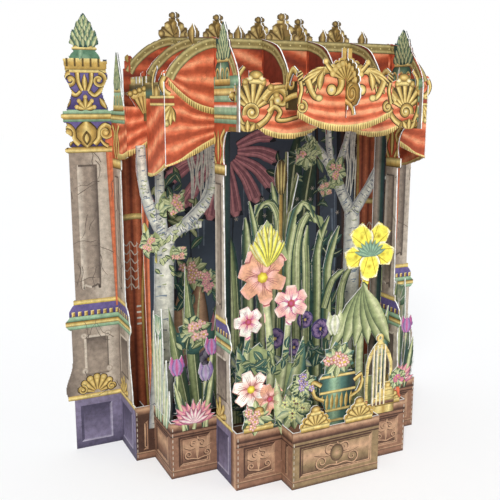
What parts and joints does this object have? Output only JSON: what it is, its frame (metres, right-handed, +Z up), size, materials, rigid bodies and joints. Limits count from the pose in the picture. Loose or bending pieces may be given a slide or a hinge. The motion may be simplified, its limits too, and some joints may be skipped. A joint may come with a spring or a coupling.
{
  "type": "greeting card",
  "caption": "Free-standing pop-up greeting card: a paper theatre of die-cut, folded and slotted tiers in front of an arched back panel.",
  "frame": {"origin": "middle of the back panel's bottom edge, on the surface that the card stands on", "axes": "+Z up, +X to the right as seen from the front, the front of the card faces -Y"},
  "size_m": [0.1948, 0.0877, 0.1977],
  "materials": {
    "back_panel_card": "printed, satin",
    "outer_tier_card": "printed, satin",
    "leaf_row_card": "printed, satin",
    "second_tier_card": "printed, satin",
    "flower_row_card": "printed, satin",
    "third_tier_card": "printed, satin",
    "bay_planter_card": "printed, satin",
    "bay_canopy_card": "printed, satin",
    "centre_rib_card": "printed, satin",
    "leaf_fin_card": "printed, satin"
  },
  "bodies": {
    "root": {"back_panel": "back_panel_card", "outer_tier": "outer_tier_card", "leaf_row": "leaf_row_card", "second_tier": "second_tier_card", "flower_row": "flower_row_card", "third_tier": "third_tier_card", "bay_planter": "bay_planter_card", "bay_canopy": "bay_canopy_card", "centre_rib": "centre_rib_card", "leaf_fin": "leaf_fin_card"}
  },
  "joints": []
}
